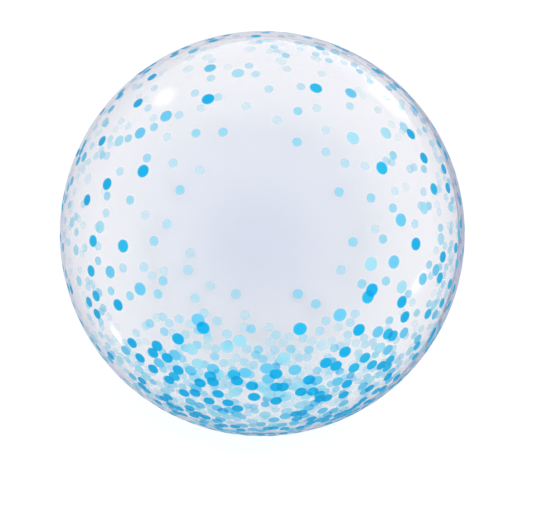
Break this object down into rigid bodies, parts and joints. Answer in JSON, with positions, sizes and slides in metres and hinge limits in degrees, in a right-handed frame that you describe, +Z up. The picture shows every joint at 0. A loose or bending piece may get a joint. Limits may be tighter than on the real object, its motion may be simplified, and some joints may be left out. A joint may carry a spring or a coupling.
{
  "type": "party balloon",
  "caption": "Round clear film party balloon with printed confetti dots, lying on its back panel, with its valve tail folded down at the weld.",
  "frame": {"origin": "middle of the flat resting spot of the back panel, on the floor", "axes": "+Z up, along the axis of the two round panels, with the front panel on top; -Y towards the balloon's bottom, where the valve tail leaves the weld; +X to the right as the front panel is seen with the bottom down"},
  "size_m": [0.613, 0.6158, 0.6074],
  "materials": {
    "clear_film": "clear, glossy, with blue printed dots",
    "tail_film": "milky clear, satin"
  },
  "bodies": {
    "root": {"envelope": "clear_film", "valve_tail": "tail_film"}
  },
  "joints": []
}
